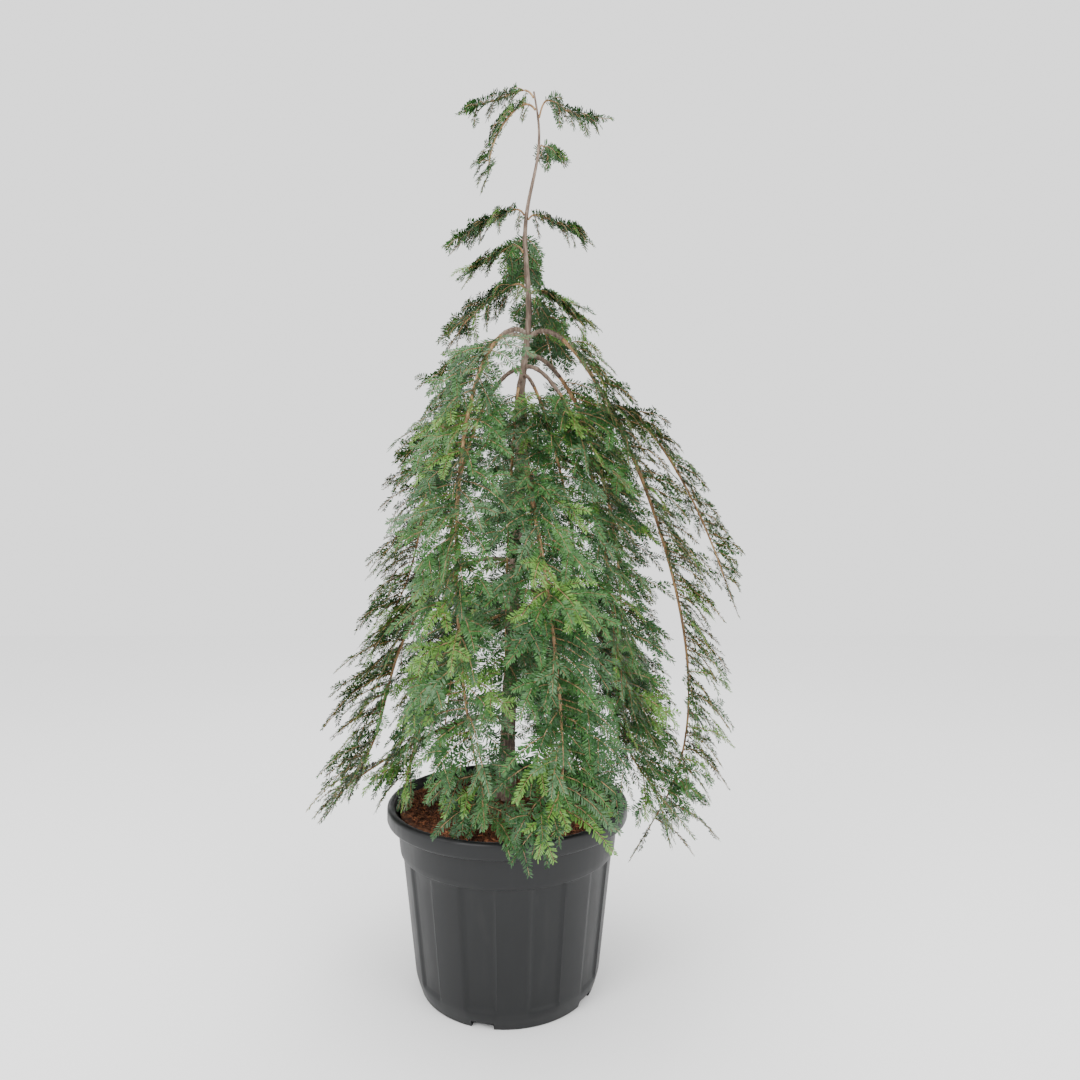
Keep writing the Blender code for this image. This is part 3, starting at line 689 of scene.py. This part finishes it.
needle = {
    "length": 0.0120, "halfWidth": 0.00100, "step": 0.00108, "fewest": 6,
    "sizes": (0.78, 1.12), "vary": (0.1, 0.9),
    "spread": (62, 8), "tipTurn": 26, "rise": 0.13, "twist": 0.25,
    "tipShort": 0.45, "rootSize": 0.72, "rootReach": 0.1, "fineSize": 0.9, "slimShare": 0.6,
    "lying": 0.12, "lyingSpread": (8, 25), "lyingRise": (0.25, 0.5), "lyingSize": 0.7,  # on top, pointing on
    # share of the length, half widths across and share of the length above, at each corner
    "outline": (
        (0, 0, 0), (0.38, 1, 0.05), (0.38, -1, 0.05), (0.86, 0.82, 0.03), (0.86, -0.82, 0.03), (1, 0, 0)),
}


# two flat rows of needles along a twig, and a few that lie forward on top
def needlesOn(line, facing, rng, share):
    n = needle
    steps = np.linalg.norm(np.diff(line, axis=0), axis=1)
    length = steps.sum()
    count = max(n["fewest"], int(length / n["step"]))
    place = (np.arange(count) + rng.uniform(*n["vary"], count)) / count
    arc = np.concatenate([[0], np.cumsum(steps)]) / length
    roots = np.stack([np.interp(place, arc, line[:, c]) for c in range(3)], 1)
    index = np.clip(np.searchsorted(arc, place) - 1, 0, len(line) - 2)
    along = unit(line[index + 1] - line[index])
    normal = unit(facing - along * (along @ facing)[:, None])
    side = np.cross(along, normal) * np.where(np.arange(count) % 2, 1, -1)[:, None]
    lie = rng.random(count) < n["lying"]
    lyingAngle = rng.uniform(*n["lyingSpread"], count)
    angle = np.radians(np.where(lie, lyingAngle, rng.normal(*n["spread"], count) - n["tipTurn"] * place**4))
    lyingRise = rng.uniform(*n["lyingRise"], count)
    lift = np.where(lie, lyingRise, rng.normal(0.0, n["rise"], count))
    heading = unit(along * np.cos(angle)[:, None] + side * np.sin(angle)[:, None] + normal * lift[:, None])
    size = n["length"] * rng.uniform(*n["sizes"], count) * (1 - n["tipShort"] * place**3)
    size = size * (n["rootSize"] + (1 - n["rootSize"]) * np.minimum(1, place / n["rootReach"]))
    size = size * np.where(lie, n["lyingSize"], 1) * share
    flat = unit(normal + n["twist"] * rng.normal(size=(count, 3)))
    width = unit(np.cross(heading, flat))
    return roots, heading, width, np.cross(width, heading), size


# a needle is a quad with a point at either end, and one that would leave the box is skipped
def needleMesh(name, bunches, material):
    n = needle
    roots, heading, width, up, size = (np.concatenate([b[k] for b in bunches]) for k in range(5))
    half = n["halfWidth"] * (n["slimShare"] + (1 - n["slimShare"]) * size / n["length"])
    corners = [
        roots + heading * (size * t)[:, None] + width * (half * u)[:, None] + up * (size * h)[:, None]
        for t, u, h in n["outline"]
    ]
    needles = np.stack(corners, 1)
    needles = needles[((needles > boxLow) & (needles < boxHigh)).all((1, 2))]
    base = len(corners) * np.arange(len(needles))[:, None]
    ends = np.concatenate([base + [[0, 2, 1]], base + [[3, 4, 5]]])
    return meshOf(name, needles.reshape(-1, 3), [base + [[1, 2, 4, 3]], ends], material)


# tone: base colour, its share of the sprays
tones = {
    "deep": ((0.014, 0.060, 0.012), 0.40),
    "leaf": ((0.032, 0.108, 0.020), 0.38),
    "grey": ((0.054, 0.124, 0.048), 0.11),
    "young": ((0.088, 0.200, 0.028), 0.11),
}
needleFinish = {
    "mottle": (240.0, 2.0), "stops": ((0.34, 0.72), (0.66, 1.30)),  # place on the ramp, lightness
    "roughness": 0.42, "specular": 0.4,
}


def needleMaterial(tone):
    f = needleFinish
    material, shader, place = newMaterial(f"needles{tone.capitalize()}")
    stops = [(at, tuple(light * c for c in tones[tone][0])) for at, light in f["stops"]]
    feed(shader, "Base Color", ramp(noise(place, *f["mottle"]), stops))
    shader.inputs["Roughness"].default_value = f["roughness"]
    shader.inputs["Specular IOR Level"].default_value = f["specular"]
    return material


shootFinish = {
    "stretch": (1, 1, 0.3), "patches": (180.0, 4.0), "grain": (900.0, 3.0),
    "roughness": 0.68, "bump": (0.4, 0.0004),
    "tans": [(0.30, (0.115, 0.062, 0.028)), (0.52, (0.27, 0.155, 0.070)), (0.72, (0.44, 0.29, 0.13))],
}


def shootMaterial():
    f = shootFinish
    material, shader, place = newMaterial("shootBark")
    feed(shader, "Base Color", ramp(noise(stretched(place, f["stretch"]), *f["patches"]), f["tans"]))
    shader.inputs["Roughness"].default_value = f["roughness"]
    bump(shader, noise(place, *f["grain"]), *f["bump"])
    return material


barkFinish = {
    "stretch": (1, 1, 0.16), "fissures": (260.0, 6.0), "patches": (34.0, 4.0), "fissureShare": 0.62,
    "browns": [
        (0.34, (0.040, 0.027, 0.020)), (0.48, (0.125, 0.085, 0.062)), (0.60, (0.235, 0.175, 0.135)),
        (0.74, (0.36, 0.31, 0.26))],
    "roughness": 0.68, "fissureRoughness": 0.25, "bump": (0.9, 0.0016),
}


def barkMaterial():
    f = barkFinish
    material, shader, place = newMaterial("trunkBark")
    fissures = noise(stretched(place, f["stretch"]), *f["fissures"])
    patches = noise(place, *f["patches"])
    mixed = fissures * f["fissureShare"] + patches * (1 - f["fissureShare"])
    feed(shader, "Base Color", ramp(mixed, f["browns"]))
    feed(shader, "Roughness", fissures * f["fissureRoughness"] + f["roughness"])
    bump(shader, fissures, *f["bump"])
    return material


# bark relief in the mesh, as shares of the radius: ribs that wander, plates that climb, scales,
# buttresses at the foot and a collar where each branch leaves
trunkRelief = {
    "rows": 420, "sides": 30, "share": 0.97,
    "rib": 0.05, "ribs": 5, "wander": 3, "wanderPace": 19,
    "plate": 0.035, "plates": 9, "climb": 47, "scale": 0.028,
    "footHeight": 0.05, "above": 0.7, "atFoot": 0.6, "buttress": 0.10, "buttresses": 4, "buttressTurn": 0.6,
    "collar": 0.22, "collarHeight": 0.007, "collarWidth": 0.6,
}
boughRelief = {"rows": 60, "sides": 12, "share": 0.95, "scale": 0.045, "ring": 0.06, "ringTurns": 26}


def makeTrunk(bark, rng):
    t, r = trunkShape, trunkRelief
    heights = t["foot"] + (t["top"] - t["foot"]) * np.linspace(0, 1, r["rows"])
    line = np.array([trunkCurve(z) for z in heights])
    up = heights[:, None]
    turn = 2 * np.pi * np.arange(r["sides"])[None] / r["sides"]
    ribs = r["rib"] * np.sin(r["ribs"] * turn + r["wander"] * np.sin(up * r["wanderPace"]))
    plates = r["plate"] * np.sin(r["plates"] * turn - r["climb"] * up)
    fissure = ribs + plates + rng.normal(0, r["scale"], (r["rows"], r["sides"]))
    low = np.exp(-(up - t["foot"]) / r["footHeight"])
    relief = 1 + fissure * (r["above"] + r["atFoot"] * low)
    relief = relief + r["buttress"] * low * np.sin(r["buttresses"] * turn + r["buttressTurn"])
    for b in branches.values():
        if b.height:
            off = (turn - math.radians(b.azimuth) + np.pi) % (2 * np.pi) - np.pi
            away = ((up - b.height) / r["collarHeight"]) ** 2 + (off / r["collarWidth"]) ** 2
            relief += r["collar"] * np.exp(-away)
    points, faces = tubes(line[None], trunkRadius(heights)[None] * r["share"], r["sides"], relief[None])
    return meshOf("trunk_bark", points, faces, bark)


def makeBough(name, bark, rng):
    r = boughRelief
    path = pathOf(name)
    shares = branches[name].bare * np.linspace(0, 1, r["rows"])
    line = np.array([path(s) for s in shares])
    radius = np.array([thicknessOf(name, s) for s in shares])
    rings = r["ring"] * np.sin(np.linspace(0, r["ringTurns"], r["rows"]))[None, :, None]
    rough = 1 + rng.normal(0, r["scale"], (1, r["rows"], r["sides"])) + rings
    points, faces = tubes(line[None], radius[None] * r["share"], r["sides"], rough)
    return meshOf(f"{name}_bough_bark", points, faces, bark)


def makeLimbs():
    rng = np.random.default_rng(11)
    bark = barkMaterial()
    pieces = [makeTrunk(bark, rng)]
    return pieces + [makeBough(name, bark, rng) for name, b in branches.items() if b.bare]


# groups of branches whose twigs and needles are joined
zones = {
    "crown": ("leader_left", "leader_hanging", "leader_right", "leader_tufts", "upper_left", "upper_right",
              "upper_back", "upper_front", "shoulder_left", "shoulder_right", "shoulder_back"),
    "right": ("right", "right_outer", "right_middle", "front_right"),
    "left": ("left", "front_left", "front_middle"),
    "front": ("front", "low_right", "low_front_right"),
    "back": ("back", "back_right", "back_left"),
    "lowLeft": ("low_left", "low_front_left", "rim_left", "low_back_left"),
    "lowBack": ("low_back", "low_back_right"),
}
stemSkin = {"sides": 7, "share": 0.92, "least": 0.0010}
sideSkin = {"sides": 4, "rows": 5, "root": 0.00062, "perLength": 0.0045, "tip": 0.00035}
fineSkin = {"sides": 3, "rows": 3, "root": 0.0005, "tip": 0.00028}


def resampled(line, count):
    place = np.linspace(0, len(line) - 1, count)
    return np.stack([np.interp(place, np.arange(len(line)), line[:, c]) for c in range(3)], 1)


def stemRadii(name):
    shares = np.linspace(branches[name].bare, 1, spray["stemRows"])
    return [max(stemSkin["least"], thicknessOf(name, s)) * stemSkin["share"] for s in shares]


def sideRadii(line):
    root = sideSkin["root"] + sideSkin["perLength"] * np.linalg.norm(line[-1] - line[0])
    return np.linspace(root, sideSkin["tip"], sideSkin["rows"])


# stems, side twigs and fine twigs are skinned apart and joined
def twigMesh(zone, stems, radii, sideLines, fineLines, shoot):
    thickness = np.linspace(fineSkin["root"], fineSkin["tip"], fineSkin["rows"])
    side = np.array([resampled(line, sideSkin["rows"]) for line in sideLines])
    fine = np.array([resampled(line, fineSkin["rows"]) for line in fineLines])
    skins = (
        tubes(np.array(stems), np.array(radii), stemSkin["sides"]),
        tubes(side, np.array([sideRadii(line) for line in sideLines]), sideSkin["sides"]),
        tubes(fine, np.tile(thickness, (len(fine), 1)), fineSkin["sides"]),
    )
    groups, start = [], 0
    for skin, faces in skins:
        groups += [g + start for g in faces]
        start += len(skin)
    return meshOf(f"{zone}_twigs", np.concatenate([skin for skin, _ in skins]), groups, shoot)


def makeZone(zone, names, shoot, needleKinds):
    rng = np.random.default_rng(sum(map(ord, zone)))
    shares = np.cumsum([share for _, share in tones.values()])
    bunches = {tone: [] for tone in tones}
    stems, sideLines, fineLines = [], [], []
    for name in names:
        stem, sprays = growBranch(name)
        stems.append(stem)
        for line, finer, facing in sprays:
            tone = list(tones)[int(np.searchsorted(shares, rng.random() * 0.9999))]  # never past the last
            bunches[tone].append(needlesOn(line, facing, rng, 1))
            bunches[tone] += [needlesOn(short, facing, rng, needle["fineSize"]) for short in finer]
            sideLines.append(line)
            fineLines += finer
    made = [twigMesh(zone, stems, [stemRadii(name) for name in names], sideLines, fineLines, shoot)]
    for tone, found in bunches.items():
        made.append(needleMesh(f"{zone}_needles_{tone}", found, needleKinds[tone]))
    return made


def foliageNodes(name):
    return [f"{name}{part}_foliage" for part in parts[len(branches[name].sprays)]]


def build():
    pot = makePot()
    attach(pot, "root")
    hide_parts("pot")
    print("pot made", len(pot.data.polygons))
    for piece in makeSoil():
        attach(piece, "root")
        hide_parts("soil")
    print("growing medium made")
    for piece in makeLimbs():
        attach(piece, "root")
        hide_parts(piece.name.replace("_bark", ""))
    print("trunk and boughs made")
    shoot = shootMaterial()
    needleKinds = {tone: needleMaterial(tone) for tone in tones}
    total = 0
    for zone, names in zones.items():
        nodes = [node for name in names for node in foliageNodes(name)]
        for piece in makeZone(zone, names, shoot, needleKinds):
            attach(piece, "root")
            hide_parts(*nodes)
            piece.data.calc_loop_triangles()
            total += len(piece.data.loop_triangles)
            print(piece.name, len(piece.data.loop_triangles))
    print("foliage made", total)


# the room: a pale floor, an even sky, soft lights and the photograph's camera
room = {
    "floor": 9.0, "pale": (0.95, 0.95, 0.95), "patches": (0.6, 2.0), "patchShade": 0.985, "roughness": 0.85,
    "sky": 1.7, "aim": (0, 0, 0.7),
    "eye": (0.0534, -1.269, 0.727), "lens": 25.33, "sensor": 36,
    # name, place, size, power
    "lights": (
        ("key", (-1.6, -2.2, 2.4), 1.4, 70), ("fill", (2.0, -2.0, 1.5), 1.4, 44),
        ("top", (0, 0.2, 3.0), 2.0, 34)),
}


def makeFloor():
    material, shader, place = newMaterial("paleFloor")
    shaded = tuple(room["patchShade"] * c for c in room["pale"])
    feed(shader, "Base Color", ramp(noise(place, *room["patches"]), [(0.3, shaded), (0.7, room["pale"])]))
    shader.inputs["Roughness"].default_value = room["roughness"]
    bpy.ops.object.select_all(action="DESELECT")
    bpy.ops.mesh.primitive_plane_add(size=room["floor"], location=(0, 0, 0))
    floor = bpy.context.object
    floor.name = "pale_floor"
    floor.data.materials.append(material)


def makeLights():
    world = bpy.data.worlds.new("softRoom")
    bpy.context.scene.world = world
    world.use_nodes = True
    back = world.node_tree.nodes["Background"]
    back.inputs["Color"].default_value = (1, 1, 1, 1)
    back.inputs["Strength"].default_value = room["sky"]
    for name, place, size, power in room["lights"]:
        light = bpy.data.lights.new(name, "AREA")
        light.size = size
        light.energy = power
        lamp = bpy.data.objects.new(name, light)
        bpy.context.scene.collection.objects.link(lamp)
        lamp.location = place
        x, y, z = np.array(room["aim"]) - np.array(place)
        lamp.rotation_euler = (math.atan2(math.hypot(x, y), -z), 0, math.atan2(-x, y))


def makeCamera():
    data = bpy.data.cameras.new("view")
    data.lens = room["lens"]
    data.sensor_width = room["sensor"]
    camera = bpy.data.objects.new("view", data)
    camera.location = room["eye"]
    camera.rotation_euler = (math.pi / 2, 0, 0)
    bpy.context.scene.collection.objects.link(camera)
    bpy.context.scene.camera = camera


makeFloor()
makeLights()
makeCamera()
print("room made")
build()
